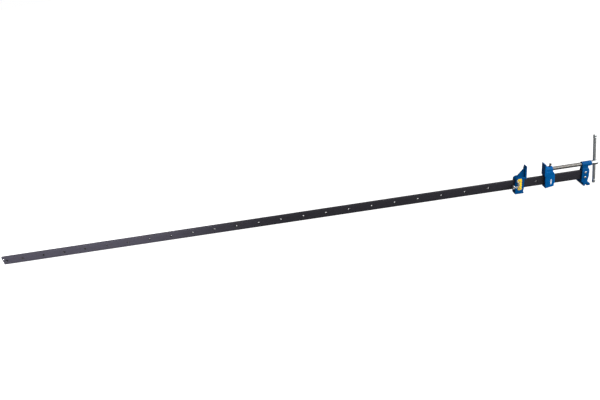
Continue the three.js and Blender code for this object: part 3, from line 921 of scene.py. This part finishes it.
def make_label_print():
    """Generic grey print: a frame line at each end, a picture block and rows of short bars."""
    wide = LABEL_HIGH.x - LABEL_LOW.x
    tall = LABEL_HIGH.z - LABEL_LOW.z
    # (left, right, bottom, top), as shares of the label
    marks = [
        (0.12, 0.88, 0.90, 0.925),
        (0.12, 0.88, 0.07, 0.095),
        (0.14, 0.46, 0.60, 0.84),
        (0.14, 0.56, 0.36, 0.54),
    ]
    for row in range(4):
        level = 0.80 - 0.055 * row
        marks.append((0.54, 0.84 - 0.07 * (row % 2), level, level + 0.028))
    for row in range(5):
        level = 0.29 - 0.04 * row
        marks.append((0.14, 0.80 - 0.10 * (row % 3), level, level + 0.02))
    front = LABEL_HIGH.y - 0.04 * MM
    blocks = []
    for i, (left, right, bottom, top) in enumerate(marks):
        low_x, high_x = LABEL_LOW.x + left * wide, LABEL_LOW.x + right * wide
        low_z, high_z = LABEL_LOW.z + bottom * tall, LABEL_LOW.z + top * tall
        radius = min(high_x - low_x, high_z - low_z) * 0.3
        outline = rounded_rectangle(low_x, high_x, low_z, high_z, radius)
        blocks.append(plate(f"print_{i}", outline, front, LABEL_HIGH.y + 0.1 * MM))
    marks_piece = joined("label_print", blocks)
    dressed(marks_piece, GREY_INK, "tail_jaw")


make_bar()
cast_from("head_casting", "head", "frame", BLUE_HEAD)
cast_from("moving_jaw_casting", "moving_jaw", "moving_jaw", BLUE_JAW)
cast_from("tail_jaw_casting", "tail_jaw", "tail_jaw", BLUE_TAIL)
make_jaw_mark()
make_screw()
make_hub()
make_tommy_bar()
make_tommy_cap("tommy_cap_upper", 1)
make_tommy_cap("tommy_cap_lower", -1)
make_rivet("head_rivet_upper", RIVET_SHANK)
make_rivet("head_rivet_lower", RIVET_SHANK)
make_rivet("end_stop_pin", STOP_SHANK)
make_retaining_pin()
make_locating_pin()
make_ring()
make_eye()
make_chain()
make_label()
make_label_print()

# ------------------------------------------------------------------ stage, light and camera


FLOOR_HALF = 60.0
FLOOR_Z = -0.5 * MM
FLOOR_ALBEDO = 0.12
SKY_BRIGHT_SIDE = Vector((0.80, -0.42, 0.43)).normalized()
SKY_STOPS = ((0.46, 0.004), (0.68, 0.46), (1.0, 1.0))  # 0 is away from the bright side, 1 is in it
SKY_STRENGTH = 3.7
RIGHT_WATTS = 12
RIGHT_PLACE = (2.6, -1.6, 1.3)
RIGHT_AIM = (0.9, 0, 0.1)
RIGHT_SIDE = 1.0
FAR_WATTS = 330
FAR_PLACE = (-0.88, -1.15, 0.85)
FAR_AIM = (-0.88, 0, 0.03)
FAR_CONE = math.radians(62)
FAR_COLOUR = (0.92, 0.90, 1.0)
CAMERA_PLACE = Vector((0.1773, -1.4905, 0.8639))
CAMERA_PITCH = math.radians(27.16)  # below the horizon
CAMERA_YAW = math.radians(-4.59)  # to the right of +Y
CAMERA_ROLL = math.radians(10.74)
CAMERA_LENS = 29.21


def make_floor():
    """A matt floor that the camera sees as plain white."""
    bm = bmesh.new()
    bmesh.ops.create_grid(bm, x_segments=1, y_segments=1, size=FLOOR_HALF)
    floor = from_bmesh("floor", bm)
    floor.location.z = FLOOR_Z
    n = Nodes("floor_white")
    n.finish((FLOOR_ALBEDO, FLOOR_ALBEDO, FLOOR_ALBEDO), 0.9, Emission_Color=(1, 1, 1, 1))
    seen = n.add("ShaderNodeLightPath").outputs["Is Camera Ray"]
    n.link(seen, n.shader.inputs["Emission Strength"])
    floor.data.materials.append(n.material)


def add_light(name, kind, watts, place, aim):
    """Adds a light and returns its data, for what its kind has besides."""
    lamp = bpy.data.lights.new(name, kind)
    lamp.energy = watts
    light = new_object(name, lamp)
    light.location = place
    light.rotation_mode = "QUATERNION"
    light.rotation_quaternion = (Vector(aim) - Vector(place)).to_track_quat("-Z", "Y")
    return lamp


def make_sky():
    """Soft studio light: brightest high on the right, dark on the left. The camera sees white."""
    world = bpy.data.worlds.new("studio")
    bpy.context.scene.world = world
    world.use_nodes = True
    tree = world.node_tree
    place = tree.nodes.new("ShaderNodeTexCoord")
    along = tree.nodes.new("ShaderNodeVectorMath")
    along.operation = "DOT_PRODUCT"
    along.inputs[1].default_value = SKY_BRIGHT_SIDE
    share = tree.nodes.new("ShaderNodeMapRange")
    share.inputs["From Min"].default_value = -1
    ramp = tree.nodes.new("ShaderNodeValToRGB")
    elements = ramp.color_ramp.elements
    elements.new(0.5)
    for element, (position, value) in zip(elements, SKY_STOPS):
        element.position = position
        element.color = (value, value, value, 1)
    tree.links.new(place.outputs["Generated"], along.inputs[0])
    tree.links.new(along.outputs["Value"], share.inputs["Value"])
    tree.links.new(share.outputs["Result"], ramp.inputs["Fac"])
    light = tree.nodes["Background"]
    tree.links.new(ramp.outputs["Color"], light.inputs["Color"])
    light.inputs["Strength"].default_value = SKY_STRENGTH
    white = tree.nodes.new("ShaderNodeBackground")
    white.inputs["Color"].default_value = (1, 1, 1, 1)
    seen = tree.nodes.new("ShaderNodeLightPath")
    either = tree.nodes.new("ShaderNodeMixShader")
    tree.links.new(seen.outputs["Is Camera Ray"], either.inputs[0])
    tree.links.new(light.outputs["Background"], either.inputs[1])
    tree.links.new(white.outputs["Background"], either.inputs[2])
    tree.links.new(either.outputs["Shader"], tree.nodes["World Output"].inputs["Surface"])


def make_lights():
    """A wide light on the right, and a spot that only reaches the bar's far half."""
    wide = add_light("right", "AREA", RIGHT_WATTS, RIGHT_PLACE, RIGHT_AIM)
    wide.shape = "RECTANGLE"
    wide.size = wide.size_y = RIGHT_SIDE
    spot = add_light("far_half", "SPOT", FAR_WATTS, FAR_PLACE, FAR_AIM)
    spot.spot_size = FAR_CONE
    spot.spot_blend = 0.8
    spot.color = FAR_COLOUR
    spot.shadow_soft_size = 0.2


def make_camera():
    """A camera that matches the photograph's view."""
    camera = new_object("camera", bpy.data.cameras.new("camera"))
    forward = Vector((
        math.sin(CAMERA_YAW) * math.cos(CAMERA_PITCH),
        math.cos(CAMERA_YAW) * math.cos(CAMERA_PITCH),
        -math.sin(CAMERA_PITCH),
    ))
    level = forward.cross(Vector((0, 0, 1))).normalized()
    down = forward.cross(level)
    right = math.cos(CAMERA_ROLL) * level + math.sin(CAMERA_ROLL) * down
    up = math.sin(CAMERA_ROLL) * level - math.cos(CAMERA_ROLL) * down
    turn = Matrix((right, up, -forward)).transposed().to_4x4()
    camera.matrix_world = Matrix.Translation(CAMERA_PLACE) @ turn
    camera.data.lens = CAMERA_LENS
    camera.data.clip_end = 500
    bpy.context.scene.camera = camera


make_floor()
make_sky()
make_lights()
make_camera()
bpy.context.scene.view_settings.view_transform = "Standard"
